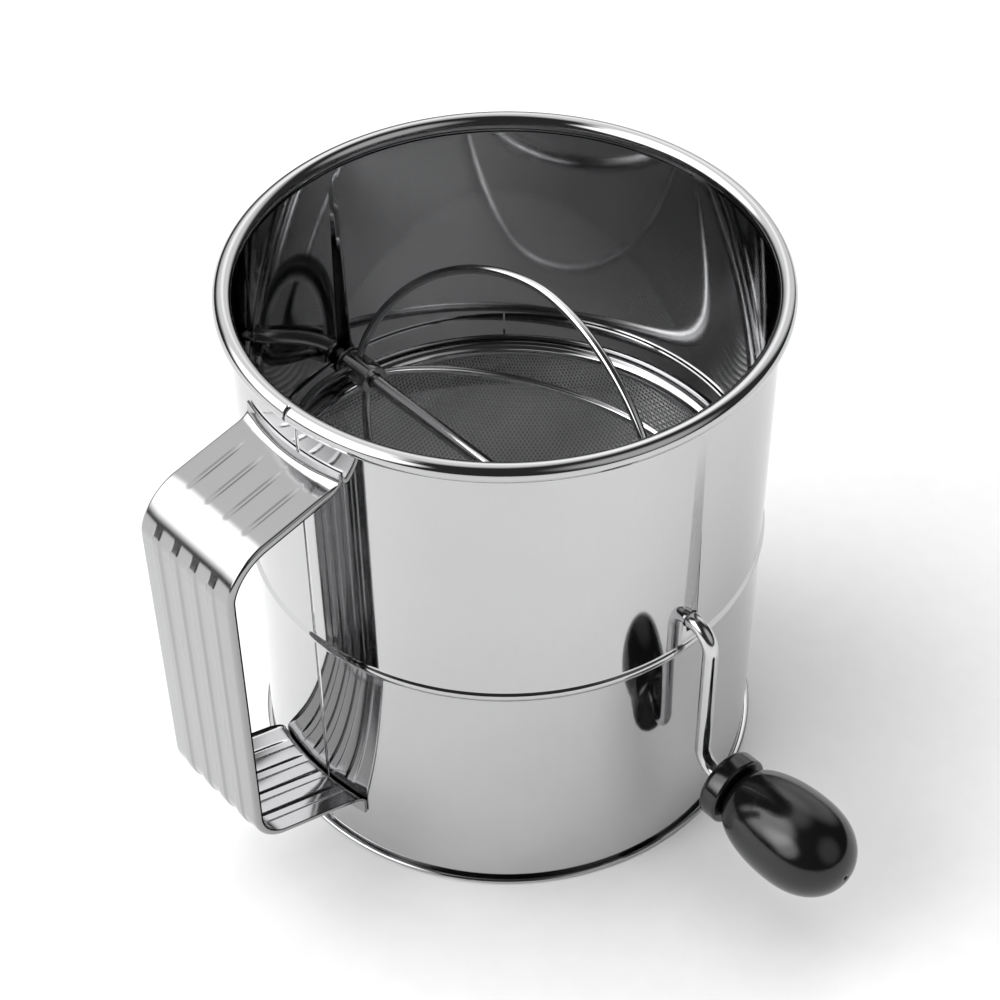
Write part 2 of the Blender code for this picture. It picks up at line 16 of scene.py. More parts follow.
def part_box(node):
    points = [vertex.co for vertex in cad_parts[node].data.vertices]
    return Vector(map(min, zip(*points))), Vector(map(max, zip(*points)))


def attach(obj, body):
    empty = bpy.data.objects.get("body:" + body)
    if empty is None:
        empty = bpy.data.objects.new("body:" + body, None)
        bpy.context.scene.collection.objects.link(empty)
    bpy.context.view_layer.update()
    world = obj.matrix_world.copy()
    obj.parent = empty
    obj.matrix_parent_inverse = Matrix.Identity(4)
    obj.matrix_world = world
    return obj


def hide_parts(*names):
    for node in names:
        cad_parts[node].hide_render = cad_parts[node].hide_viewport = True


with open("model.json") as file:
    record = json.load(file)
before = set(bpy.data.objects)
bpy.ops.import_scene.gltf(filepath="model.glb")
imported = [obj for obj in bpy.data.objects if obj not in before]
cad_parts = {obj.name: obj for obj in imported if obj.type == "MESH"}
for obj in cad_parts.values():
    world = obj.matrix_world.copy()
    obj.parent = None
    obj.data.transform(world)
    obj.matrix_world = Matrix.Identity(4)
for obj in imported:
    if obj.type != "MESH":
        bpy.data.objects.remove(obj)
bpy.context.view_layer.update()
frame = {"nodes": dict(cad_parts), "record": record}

# ---------------------------------------------------------------- places from the frame
JOINTS = {joint["name"]: joint for joint in frame["record"]["behaviour"]["joints"]}
CRANK_AXIS = Vector(JOINTS["crank_spin"]["pos_m"])
KNOB_AXIS = Vector(JOINTS["knob_spin"]["pos_m"])
CAN_X, CAN_Y, SHAFT_HEIGHT = CRANK_AXIS
CAN_AXIS = Vector((CAN_X, CAN_Y, 0))

CAN_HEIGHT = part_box("body_shell")[1][2]
RIM_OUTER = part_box("body_shell")[1][1] - CAN_Y
HANDLE_FACE = CAN_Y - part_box("handle_strap")[0][1]
FAR_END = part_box("crank_rod")[0][0] - CAN_X
SPINDLE_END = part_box("crank_rod")[1][0] - CAN_X
KNOB_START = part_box("knob_collar")[0][0] - CAN_X
GRIP_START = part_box("knob_grip")[0][0] - CAN_X
KNOB_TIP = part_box("knob_grip")[1][0] - CAN_X
CRANK_THROW = SHAFT_HEIGHT - KNOB_AXIS.z

# ---------------------------------------------------------------- sizes shared with the CAD
CAN_RADIUS = 0.079
WALL = 0.0005
RIM_TUBE = 0.0028
RIM_NECK = 0.0019
FOOT_ROLL = 0.0006
FOOT_LAND = 0.00055
BEAD_HEIGHT = 0.086
BEAD_RISE = 0.0008
BEAD_HALF_WIDTH = 0.0022

RING_TUBE = 0.0027
RING_SHEET = 0.0006
RING_SLOT = (198, 250)
BAND_SHEET = 0.0006
BAND_OVER_SHAFT = 0.0013
BAND_JOIN_ANGLE = radians(138.5)
BAND_JOIN_GAP = 0.0006

MESH_DEPTH = 0.0679
MESH_SHEET = 0.0006

SHAFT_WIRE = 0.0048
ARM_X = CAN_RADIUS + 0.0088
CRANK_BEND = 0.008
HEAD_RADIUS = 0.0038
HEAD_THICKNESS = 0.0014

HOOP_WIRE = 0.0028
HOOP_REACH = 0.065
HOOP_POWER = 1.8
HOOP_LEAN = radians(15.5)
HOOP_STAGGER = 0.003
HUB_RADIUS = 0.0049
WASHER_RADIUS = 0.0052
WASHER_SHEET = 0.0008

COLLAR_RADIUS = 0.0111
COLLAR_LENGTH = 0.007
COLLAR_CHAMFER = 0.0022
SPIGOT_RADIUS = 0.0048
SPIGOT_LENGTH = 0.008
GRIP_RADIUS = 0.015
GRIP_NECK = 0.0064
GRIP_BELLY = 0.515
VENT_RADIUS = 0.0007

HANDLE_WIDTH = 0.041
HANDLE_SHEET = 0.0008
HANDLE_TOP_BELOW_RIM = 0.0202
HANDLE_TOP_SLOPE = radians(13)
HANDLE_TOP_BEND = 0.018
HANDLE_BOTTOM_HEIGHT = 0.0254
HANDLE_BOTTOM_SLOPE = radians(17.5)
HANDLE_BOTTOM_BEND = 0.014
HANDLE_TAB_BEND = 0.0026
HANDLE_UPPER_TAB = 0.0025
HANDLE_LOWER_TAB = 0.005
HANDLE_HEM = 0.0016
HANDLE_BEADS = 4
HANDLE_BEAD_HEIGHT = 0.0005
HANDLE_BEAD_WIDTH = 0.0046

FIT = 0.0003
RUNNING_FIT = 0.0004

SHAFT_RADIUS = SHAFT_WIRE / 2
WALL_MIDDLE = CAN_RADIUS - WALL / 2
WALL_INSIDE = CAN_RADIUS - WALL
RIM_CENTRE = (RIM_OUTER - RIM_TUBE, CAN_HEIGHT - RIM_TUBE)
RING_RADIUS = WALL_INSIDE + BEAD_RISE / 2 - FIT - RING_TUBE
RING_INSIDE = RING_RADIUS - RING_TUBE
BAND_OUTSIDE = WALL_INSIDE - RUNNING_FIT
BAND_INSIDE = BAND_OUTSIDE - BAND_SHEET
BAND_BOTTOM = BEAD_HEIGHT + RING_TUBE + FIT
BAND_TOP = SHAFT_HEIGHT + BAND_OVER_SHAFT
HUB_FAR = (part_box("hub_far")[0][0] - CAN_X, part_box("hub_far")[1][0] - CAN_X)
HOOP_HALF_LENGTH = -(HUB_FAR[0] + HUB_FAR[1]) / 2
MESH_EDGE_DROP = SHAFT_HEIGHT - BEAD_HEIGHT - MESH_SHEET
MESH_SEAT_RADIUS = RING_INSIDE + RING_SHEET + 1.5 * FIT
MESH_HALF_WIDTH = MESH_SEAT_RADIUS / sqrt(1 - ((SHAFT_HEIGHT - BEAD_HEIGHT) / MESH_DEPTH) ** 2)

# ---------------------------------------------------------------- sizes only the fine surface has
SEAM_ANGLE = radians(-87)
SEAM_WIDTH = 0.0005
SEAM_DEPTH = 0.00015
SEAM_FOOT = 0.003
RIM_JOIN_GAP = 0.0011

MESH_PITCH = 0.00125
MESH_WIRE = 0.00044
MESH_LIFT = MESH_WIRE * 0.52
HOOP_SEAT_GAP = 0.0002

HANDLE_BEAD_TILT = radians(32)
HANDLE_BEAD_STOP = 0.001
HANDLE_BEAD_FADE = 0.005
HANDLE_GROOVE_DEPTH = 0.00026
HANDLE_GROOVE_WIDTH = 0.0026
HANDLE_GROOVE_STOP = 0.006
HANDLE_GROOVE_START_FADE = 0.004
HANDLE_GROOVE_END_FADE = 0.006
HANDLE_WALL_RUNOUT = 0.005

AROUND_CAN = 288
AROUND_SMALL = 96
AROUND_WIRE = 24


# ---------------------------------------------------------------- mesh helpers
def mesh_object(name, points, faces, sharpest=35):
    mesh = bpy.data.meshes.new(name)
    mesh.from_pydata([tuple(p) for p in points], [], faces)
    bm = bmesh.new()
    bm.from_mesh(mesh)
    bmesh.ops.recalc_face_normals(bm, faces=bm.faces)
    bm.to_mesh(mesh)
    bm.free()
    mesh.shade_smooth()
    mesh.set_sharp_from_angle(angle=radians(sharpest))
    thing = bpy.data.objects.new(name, mesh)
    bpy.context.scene.collection.objects.link(thing)
    return thing


def skin(name, rings, looped=False, capped=False, open_rings=False, sharpest=35):
    """A surface through equal rings of points, closed end to end if looped."""
    size = len(rings[0])
    points = [point for ring in rings for point in ring]
    faces = []
    for start in range(len(rings) if looped else len(rings) - 1):
        here, there = start * size, (start + 1) % len(rings) * size
        for i in range(size - 1 if open_rings else size):
            j = (i + 1) % size
            faces.append((here + i, here + j, there + j, there + i))
    if capped:
        faces.append(tuple(range(size)))
        faces.append(tuple(range(len(points) - size, len(points))))
    return mesh_object(name, points, faces, sharpest)


def arc(centre, radius, start, stop, count):
    """Points on an arc, as (across, up), from one angle to another in degrees."""
    angles = [radians(start + (stop - start) * i / (count - 1)) for i in range(count)]
    return [(centre[0] + radius * cos(a), centre[1] + radius * sin(a)) for a in angles]


def thickened(line, thickness):
    """A closed section round a middle line of (across, up) points."""
    sides = ([], [])
    for i, (across, up) in enumerate(line):
        before, after = line[max(i - 1, 0)], line[min(i + 1, len(line) - 1)]
        run, rise = after[0] - before[0], after[1] - before[1]
        length = hypot(run, rise)
        shift = (-rise / length * thickness / 2, run / length * thickness / 2)
        sides[0].append((across + shift[0], up + shift[1]))
        sides[1].append((across - shift[0], up - shift[1]))
    return sides[0] + sides[1][::-1]


def turned(name, section, steps=AROUND_CAN, sharpest=35):
    """A closed section of (radius, height) points turned round the can's axis."""
    rings = []
    for i in range(steps):
        turn = 2 * pi * i / steps
        rings.append([(CAN_X + r * cos(turn), CAN_Y + r * sin(turn), z) for r, z in section])
    return skin(name, rings, looped=True, sharpest=sharpest)


def turned_along_x(name, section, axis, steps=AROUND_SMALL, sharpest=35):
    """A closed section of (radius, distance from the can's axis) turned round an axis along X."""
    rings = []
    for i in range(steps):
        turn = 2 * pi * i / steps
        rings.append([(CAN_X + x, axis.y + r * cos(turn), axis.z + r * sin(turn)) for r, x in section])
    return skin(name, rings, looped=True, sharpest=sharpest)


def tube(name, path, radii, sides=AROUND_WIRE, sharpest=35):
    """A round rod along a path, whose radius may change from point to point."""
    path = [Vector(p) for p in path]
    headings = []
    for i in range(len(path)):
        headings.append((path[min(i + 1, len(path) - 1)] - path[max(i - 1, 0)]).normalized())
    out = headings[0].orthogonal().normalized()
    rings = []
    for place, heading, radius in zip(path, headings, radii):
        out = (out - heading * out.dot(heading)).normalized()
        side = heading.cross(out)
        ring = []
        for i in range(sides):
            turn = 2 * pi * i / sides
            ring.append(place + (out * cos(turn) + side * sin(turn)) * radius)
        rings.append(ring)
    return skin(name, rings, capped=True, sharpest=sharpest)


def cut(thing, cutters):
    """Takes the cutters out of a mesh and removes them."""
    for cutter in cutters:
        change = thing.modifiers.new("cut", "BOOLEAN")
        change.operation = "DIFFERENCE"
        change.solver = "EXACT"
        change.object = cutter
    bpy.context.view_layer.update()
    evaluated = thing.evaluated_get(bpy.context.evaluated_depsgraph_get())
    mesh = bpy.data.meshes.new_from_object(evaluated)
    thing.modifiers.clear()
    thing.data = mesh
    for cutter in cutters:
        bpy.data.objects.remove(cutter, do_unlink=True)
    return thing


def soften(thing, width, segments=3):
    """Rounds a piece's sharp edges."""
    bevel = thing.modifiers.new("edges", "BEVEL")
    bevel.width = width
    bevel.segments = segments
    bevel.limit_method = "ANGLE"
    bevel.angle_limit = radians(40)
    bevel.harden_normals = True
    return thing


def place_piece(thing, body, node, stuff):
    thing.data.materials.clear()
    thing.data.materials.append(stuff)
    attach(thing, body)
    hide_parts(node)
    return thing


# ---------------------------------------------------------------- materials
def new_material(name, colour, roughness, metallic=0.0):
    stuff = bpy.data.materials.new(name)
    stuff.use_nodes = True
    nodes, links = stuff.node_tree.nodes, stuff.node_tree.links
    shader = nodes["Principled BSDF"]
    shader.inputs["Base Color"].default_value = (*colour, 1)
    shader.inputs["Roughness"].default_value = roughness
    shader.inputs["Metallic"].default_value = metallic
    return stuff, nodes, links, shader


def noise(nodes, links, scale, detail=3.0, stretch=(1, 1, 1)):
    """Noise in the row frame, with features about 1/scale metres across."""
    where = nodes.new("ShaderNodeTexCoord")
    size = nodes.new("ShaderNodeMapping")
    size.inputs["Scale"].default_value = stretch
    texture = nodes.new("ShaderNodeTexNoise")
    texture.inputs["Scale"].default_value = scale
    texture.inputs["Detail"].default_value = detail
    links.new(where.outputs["Object"], size.inputs["Vector"])
    links.new(size.outputs["Vector"], texture.inputs["Vector"])
    return texture.outputs["Fac"]


def between(nodes, links, value, low, high):
    """A 0 to 1 value spread between two numbers."""
    spread = nodes.new("ShaderNodeMapRange")
    spread.inputs["To Min"].default_value = low
    spread.inputs["To Max"].default_value = high
    links.new(value, spread.inputs["Value"])
    return spread.outputs["Result"]


def tint(nodes, links, value, dark, light, start=0.3, stop=0.7):
    ramp = nodes.new("ShaderNodeValToRGB")
    ramp.color_ramp.elements[0].position = start
    ramp.color_ramp.elements[1].position = stop
    ramp.color_ramp.elements[0].color = (*dark, 1)
    ramp.color_ramp.elements[1].color = (*light, 1)
    links.new(value, ramp.inputs["Fac"])
    return ramp.outputs["Color"]


def bump(nodes, links, height, distance, strength=1.0, under=None):
    bumped = nodes.new("ShaderNodeBump")
    bumped.inputs["Strength"].default_value = strength
    bumped.inputs["Distance"].default_value = distance
    links.new(height, bumped.inputs["Height"])
    if under is not None:
        links.new(under, bumped.inputs["Normal"])
    return bumped.outputs["Normal"]


def steel(name, shade=0.5, roughness=(0.03, 0.08), wave=0.00004, grain=(1, 1, 1)):
    """Polished stainless steel: a faint uneven tone, fine rub marks and slightly wavy sheet."""
    colour = (shade, shade, shade * 1.01)
    stuff, nodes, links, shader = new_material(name, colour, roughness[0], 1)
    tone = noise(nodes, links, 14, 4)
    darker = tuple(c * 0.93 for c in colour)
    links.new(tint(nodes, links, tone, darker, colour), shader.inputs["Base Color"])
    rub = noise(nodes, links, 900, 2, grain)
    links.new(between(nodes, links, rub, *roughness), shader.inputs["Roughness"])
    rolling = noise(nodes, links, 28, 1, grain)
    links.new(bump(nodes, links, rolling, wave), shader.inputs["Normal"])
    return stuff


def black_plastic(name):
    """Glossy moulded plastic with a faint flow-marked skin."""
    stuff, nodes, links, shader = new_material(name, (0.005, 0.005, 0.0055), 0.14)
    flow = noise(nodes, links, 60, 3)
    links.new(tint(nodes, links, flow, (0.004, 0.004, 0.0044), (0.006, 0.006, 0.0066)),
              shader.inputs["Base Color"])
    haze = noise(nodes, links, 350, 3)
    links.new(between(nodes, links, haze, 0.11, 0.17), shader.inputs["Roughness"])
    skin_marks = noise(nodes, links, 1400, 2)
    links.new(bump(nodes, links, skin_marks, 0.000012), shader.inputs["Normal"])
    return stuff


# ---------------------------------------------------------------- the can
def rim_curl():
    roll = RIM_TUBE - WALL / 2
    curl = arc(RIM_CENTRE, roll, -85, 222, 48)
    join = curl[-1]
    neck = []
    for i in range(1, 9):
        share = i / 8
        ease = share * share * (3 - 2 * share)
        neck.append((join[0] + (WALL_MIDDLE - join[0]) * ease, join[1] - RIM_NECK * share))
    return curl + neck


def wall_bead():
    count = 25
    line = []
    for i in range(count):
        along = 1 - 2 * i / (count - 1)
        rise = BEAD_RISE * (1 + cos(pi * along)) / 2
        line.append((WALL_MIDDLE + rise, BEAD_HEIGHT + along * BEAD_HALF_WIDTH))
    return line


def foot_roll():
    low = WALL / 2
    inner = arc((WALL_MIDDLE + FOOT_ROLL, low + FOOT_ROLL), FOOT_ROLL, 180, 270, 9)
    outer = arc((WALL_MIDDLE + FOOT_ROLL + FOOT_LAND, low + FOOT_ROLL), FOOT_ROLL, -90, 90, 13)
    return inner + outer


def seam_tool(reach, heights, width):
    """A block standing across the can's side seam."""
    out = Vector((cos(SEAM_ANGLE), sin(SEAM_ANGLE), 0))
    across = Vector((-out.y, out.x, 0)) * width / 2
    rings = []
    for z in heights:
        corners = [CAN_AXIS + out * r + across * side for r, side in
                   ((reach[0], -1), (reach[1], -1), (reach[1], 1), (reach[0], 1))]
        rings.append([(corner.x, corner.y, z) for corner in corners])
    return skin("seam", rings, capped=True)


def make_body_shell():
    shell = turned("can_shell", thickened(rim_curl() + wall_bead() + foot_roll(), WALL))
    cutters = []
    past = 0.001
    for side in (1, -1):
        reach = [(CAN_X + side * r, CAN_Y, SHAFT_HEIGHT) for r in (0.06, 0.095)]
        cutters.append(tube("hole", reach, [SHAFT_RADIUS + RUNNING_FIT] * 2, 48))
    top = CAN_HEIGHT - 2 * RIM_TUBE - RIM_NECK
    seam = (CAN_RADIUS - SEAM_DEPTH, CAN_RADIUS + past)
    cutters.append(seam_tool(seam, (SEAM_FOOT, BEAD_HEIGHT - BEAD_HALF_WIDTH), SEAM_WIDTH))
    cutters.append(seam_tool(seam, (BEAD_HEIGHT + BEAD_HALF_WIDTH, top), SEAM_WIDTH))
    rim = (RIM_CENTRE[0] + RIM_TUBE * 0.2, RIM_OUTER + past)
    cutters.append(seam_tool(rim, (top - past, CAN_HEIGHT + past), RIM_JOIN_GAP))
    cut(shell, cutters)
    return place_piece(shell, "can", "body_shell", steel("can_steel", 0.52))


# ---------------------------------------------------------------- the screen
def make_screen_ring():
    low, high = RING_SLOT
    centre = (RING_RADIUS, BEAD_HEIGHT)
    outside = arc(centre, RING_TUBE, low, high - 360, 40)
    inside = arc(centre, RING_TUBE - RING_SHEET, high - 360, low, 36)
    ring = turned("screen_clamp_ring", outside + inside)
    return place_piece(ring, "can", "screen_ring", steel("ring_steel"))


def make_screen_band():
    """A flat strip bent round the wall, with a butt join and a notch at each end of the shaft."""
    notch = SHAFT_RADIUS + RUNNING_FIT
    stations = []
    gap = BAND_JOIN_GAP / BAND_INSIDE
    count = AROUND_CAN
    for i in range(count + 1):
        turn = BAND_JOIN_ANGLE + gap / 2 + (2 * pi - gap) * i / count
        if abs(sin(turn)) * BAND_OUTSIDE > notch:
            stations.append((turn, BAND_TOP))
    for side in (0, pi):
        centre = side if side > BAND_JOIN_ANGLE else side + 2 * pi
        stations.append((centre - asin(notch / BAND_OUTSIDE), BAND_TOP))
        for i in range(25):
            away = -notch * cos(pi * i / 24)
            low = SHAFT_HEIGHT - sqrt(max(notch ** 2 - away ** 2, 0))
            stations.append((centre + asin(away / BAND_OUTSIDE) + 1e-6 * (i - 12), low))
        stations.append((centre + asin(notch / BAND_OUTSIDE) + 2e-5, BAND_TOP))
    stations.sort()
    rings = []
    for turn, top in stations:
        ring = []
        for r, z in ((BAND_OUTSIDE, top), (BAND_OUTSIDE, BAND_BOTTOM),
                     (BAND_INSIDE, BAND_BOTTOM), (BAND_INSIDE, top)):
            ring.append((CAN_X + r * cos(turn), CAN_Y + r * sin(turn), z))
        rings.append(ring)
    band = skin("screen_retaining_band", rings, capped=True)
    soften(band, 0.00012, 2)
    return place_piece(band, "can", "screen_band", steel("band_steel"))


def bowl_steps(count):
    """Places one wire pitch apart down a meridian of the bowl, as (radius, drop)."""
    angle = pi / 2
    places = []
    for _ in range(count):
        places.append((MESH_HALF_WIDTH * cos(angle), MESH_DEPTH * sin(angle)))
        for _ in range(8):
            speed = hypot(MESH_HALF_WIDTH * sin(angle), MESH_DEPTH * cos(angle))
            angle -= MESH_PITCH / 8 / speed
    return places


def crossings():
    """Where warp and weft cross in one quarter of the bowl.

    The cloth is pressed into the bowl without stretching its wires, so each crossing is one
    pitch from its two neighbours nearer the middle, and the squares shear towards the corners.
    """
    wide, deep = MESH_HALF_WIDTH, MESH_DEPTH
    places = bowl_steps(110)
    net = {}
    for i, (radius, drop) in enumerate(places):
        if drop < MESH_EDGE_DROP - 2 * MESH_PITCH:
            break
        net[i, 0] = np.array((radius, 0, -drop))
        net[0, i] = np.array((0, radius, -drop))
    last = i
    for i in range(1, last):
        for j in range(1, last):
            a, b, back = net.get((i - 1, j)), net.get((i, j - 1)), net.get((i - 1, j - 1))
            if a is None or b is None:
                continue
            if max(a[2], b[2]) > -MESH_EDGE_DROP + 2 * MESH_PITCH:
                continue
            p = a + b - back
            for _ in range(6):
                miss = np.array(((p - a) @ (p - a) - MESH_PITCH ** 2,
                                 (p - b) @ (p - b) - MESH_PITCH ** 2,
                                 (p[0] ** 2 + p[1] ** 2) / wide ** 2 + p[2] ** 2 / deep ** 2 - 1))
                slopes = np.array((2 * (p - a), 2 * (p - b),
                                   (2 * p[0] / wide ** 2, 2 * p[1] / wide ** 2, 2 * p[2] / deep ** 2)))
                p = p - np.linalg.solve(slopes, miss)
            net[i, j] = p
    return net


def woven_wires(net, along_first, height):
    """The middle lines of the wires of one direction, going over and under the others."""
    reach = max(i for i, _ in net)
    lines = []
    for j in range(-reach, reach + 1):
        line = []
        for i in range(-reach, reach + 1):
            key = (abs(i), abs(j)) if along_first else (abs(j), abs(i))
            place = net.get(key)
            if place is None:
                continue
            x_sign, y_sign = (i, j) if along_first else (j, i)
            flat = Vector((place[0] if x_sign >= 0 else -place[0],
                           place[1] if y_sign >= 0 else -place[1], place[2]))
            out = Vector((flat.x / MESH_HALF_WIDTH ** 2, flat.y / MESH_HALF_WIDTH ** 2,
                          flat.z / MESH_DEPTH ** 2)).normalized()
            over = 1 if (i + j) % 2 == 0 else -1
            line.append(flat + out * (MESH_SHEET / 2 + over * height))
        clipped = clip_at_edge(line)
        if len(clipped) > 2:
            lines.append(clipped)
    return lines


def clip_at_edge(line):
    """The part of a wire below the bowl's edge."""
    edge = -MESH_EDGE_DROP
    kept = []
    for i, point in enumerate(line):
        if point.z <= edge:
            kept.append(point)
            continue
        for other in (line[i - 1] if i else None, line[i + 1] if i + 1 < len(line) else None):
            if other is not None and other.z <= edge:
                kept.append(other.lerp(point, (edge - other.z) / (point.z - other.z)))
    return kept


def wires_mesh(name, lines, radius, sides=4):
    """Many thin wires in one mesh, each a tube of few sides."""
    origin = Vector((CAN_X, CAN_Y, SHAFT_HEIGHT))
    points, faces = [], []
    for line in lines:
        start = len(points)
        out = Vector((0, 0, 1))
        for i, place in enumerate(line):
            heading = (line[min(i + 1, len(line) - 1)] - line[max(i - 1, 0)]).normalized()
            side = heading.cross(out).normalized()
            out = side.cross(heading)
            for k in range(sides):
                turn = 2 * pi * (k + 0.5) / sides
                points.append(origin + place + (out * cos(turn) + side * sin(turn)) * radius)
        for i in range(len(line) - 1):
            here, there = start + i * sides, start + (i + 1) * sides
            for k in range(sides):
                n = (k + 1) % sides
                faces.append((here + k, there + k, there + n, here + n))
        faces.append(tuple(range(start, start + sides)))
        faces.append(tuple(range(len(points) - 1, len(points) - 1 - sides, -1)))
    mesh = bpy.data.meshes.new(name)
    mesh.from_pydata([tuple(p) for p in points], [], faces)
    mesh.shade_smooth()
    thing = bpy.data.objects.new(name, mesh)
    bpy.context.scene.collection.objects.link(thing)
    return thing


def make_screen_mesh():
    net = crossings()
    stuff = steel("screen_wire_steel", 0.78, (0.3, 0.45), 0.00001)
    for name, first, height in (("screen_warp", True, MESH_LIFT), ("screen_weft", False, -MESH_LIFT)):
        cloth = wires_mesh(name, woven_wires(net, first, height), MESH_WIRE / 2)
        place_piece(cloth, "can", "screen_mesh", stuff)


# ---------------------------------------------------------------- the handle
def handle_line():
    """The strap's middle line as (distance from the can's axis, height), from tab to tab."""
    half = HANDLE_SHEET / 2
    tab = CAN_RADIUS + FIT + half
    face = HANDLE_FACE - half
    bend = HANDLE_TAB_BEND
    top_edge = CAN_HEIGHT - HANDLE_TOP_BELOW_RIM - half
    up, down = HANDLE_TOP_SLOPE, HANDLE_BOTTOM_SLOPE

    upper_centre = (tab + bend, top_edge + bend)
    upper_tab = [(tab, upper_centre[1] + HANDLE_UPPER_TAB)]
    upper_tab += arc(upper_centre, bend, 180, 270 - degrees(up), 14)
    plate_start = upper_tab[-1]
    corner = plate_start[1] - tan(up) * (face - plate_start[0])
    setback = HANDLE_TOP_BEND * tan((pi / 2 - up) / 2)
    top_bend = arc((face - HANDLE_TOP_BEND, corner - setback), HANDLE_TOP_BEND, 90 - degrees(up), 0, 64)

    low_edge = HANDLE_BOTTOM_HEIGHT + half
    lower_centre = (tab + bend, low_edge - bend)
    lower_tab = arc(lower_centre, bend, 90 + degrees(down), 180, 14)
    lower_tab.append((tab, lower_centre[1] - HANDLE_LOWER_TAB))
    low_corner = lower_tab[0][1] + tan(down) * (face - lower_tab[0][0])
    low_setback = HANDLE_BOTTOM_BEND * tan((pi / 2 - down) / 2)
    low_bend = arc((face - HANDLE_BOTTOM_BEND, low_corner + low_setback), HANDLE_BOTTOM_BEND,
                   0, degrees(down) - 90, 36)
    return upper_tab + top_bend + low_bend + lower_tab


def refine(line, longest):
    fine = [line[0]]
    for start, stop in zip(line, line[1:]):
        steps = max(1, round(hypot(stop[0] - start[0], stop[1] - start[1]) / longest))
        for i in range(1, steps + 1):
            share = i / steps
            fine.append((start[0] + (stop[0] - start[0]) * share,
                         start[1] + (stop[1] - start[1]) * share))
    return fine


def smooth_step(value):
    value = min(max(value, 0), 1)
    return value * value * (3 - 2 * value)


def strap_section():
    """Stations across the strap as (across, depth of the turned edge, bead share, groove share)."""
    half = HANDLE_WIDTH / 2 - HANDLE_SHEET / 2
    hem = HANDLE_HEM
    edge = [(-half, hem, 0, 0)]
    rounded = 0.7
    for i in range(7):
        turn = pi / 12 * i
        edge.append((-half + hem * (1 - cos(turn)) * rounded, hem * (1 - sin(turn)) * rounded, 0, 0))
    section = list(edge)
    pitch = HANDLE_WIDTH / (HANDLE_BEADS + 1)
    steps = 14
    for i in range(HANDLE_BEADS):
        middle = (i - (HANDLE_BEADS - 1) / 2) * pitch
        for k in range(-steps, steps + 1):
            across = k / steps * HANDLE_BEAD_WIDTH / 2
            grip = min((1 + cos(pi * k / steps)) * 1.1, 1)
            top = (1 + cos(2 * pi * across / HANDLE_GROOVE_WIDTH)) / 2
            if abs(across) > HANDLE_GROOVE_WIDTH / 2:
                top = 0
            section.append((middle + across, 0, grip, top))
    return section + [(-across, *rest) for across, *rest in edge[::-1]]


def make_handle_strap():
    """A strap with shallow grooves on its top and flat raised beads down its grip.

    A grip bead starts on the top bend, where it runs straight on while the bend curves away under
    it. Between the beads the grip is sunk by their height, so that they end level with its face.
    """
    line = refine(handle_line(), 0.002)
    section = strap_section()
    lengths = [0]
    for start, stop in zip(line, line[1:]):
        lengths.append(lengths[-1] + hypot(stop[0] - start[0], stop[1] - start[1]))
    grip_out = HANDLE_FACE - HANDLE_SHEET / 2 - 1e-7
    bend_end = next(at for at, point in zip(lengths, line) if point[0] > grip_out)
    bend_start = bend_end - HANDLE_TOP_BEND * (pi / 2 - HANDLE_TOP_SLOPE)
    grip_start = bend_end - HANDLE_TOP_BEND * HANDLE_BEAD_TILT
    straight_end = grip_start + sqrt(2 * HANDLE_TOP_BEND * HANDLE_BEAD_HEIGHT)
    settling = (bend_end - straight_end) * 0.8
    rings = []
    for row, (out, up) in enumerate(line):
        at = lengths[row]
        before, after = line[max(row - 1, 0)], line[min(row + 1, len(line) - 1)]
        heading = Vector((after[0] - before[0], after[1] - before[1])).normalized()
        inward = Vector((heading[1], -heading[0]))
        from_top, from_low = at - HANDLE_UPPER_TAB, lengths[-1] - at - HANDLE_LOWER_TAB
        wall_share = 1 - smooth_step(min(from_top, from_low) / HANDLE_WALL_RUNOUT)
        straight = min(max(at - grip_start, 0) ** 2 / 2 / HANDLE_TOP_BEND, HANDLE_BEAD_HEIGHT)
        level = smooth_step((at - straight_end) / settling)
        runout = smooth_step((from_low - HANDLE_BEAD_STOP) / HANDLE_BEAD_FADE)
        sunk = HANDLE_BEAD_HEIGHT * level * runout
        raised = straight * runout
        opening = smooth_step((from_top - HANDLE_GROOVE_STOP) / HANDLE_GROOVE_START_FADE)
        closing = smooth_step((at - bend_start) / HANDLE_GROOVE_END_FADE + 0.5)
        groove_depth = HANDLE_GROOVE_DEPTH * opening * (1 - closing)
        lower, upper = [], []
        for across, hem, grip, top in section:
            depth = hem * (1 - wall_share) + sunk - grip * raised + top * groove_depth
            sag = CAN_RADIUS - sqrt(CAN_RADIUS ** 2 - across ** 2)
            middle_out = out + inward[0] * depth - sag * wall_share
            middle_up = up + inward[1] * depth
            for side, half in ((upper, -HANDLE_SHEET / 2), (lower, HANDLE_SHEET / 2)):
                side.append((CAN_X + across, CAN_Y - middle_out - inward[0] * half,
                             middle_up + inward[1] * half))
        rings.append(upper + lower[::-1])
    strap = skin("handle_grip_strap", rings, capped=True)
    return place_piece(strap, "can", "handle_strap",
                       steel("strap_steel", 0.37, (0.1, 0.16), 0.00002))


# ---------------------------------------------------------------- the crank and agitator
def headed(start, stop, inward, count=9):
    """Stations of a peened head between two distances, as (distance, radius)."""
    places = []
    for i in range(count):
        turn = pi / 2 * i / (count - 1)
        places.append((start + (stop - start) * (1 - cos(turn)) * 0.75,
                       HEAD_RADIUS * (0.35 + 0.65 * sin(turn))))
    places.append((stop, HEAD_RADIUS))
    places.append((stop + inward * 1e-5, SHAFT_RADIUS))
    return places


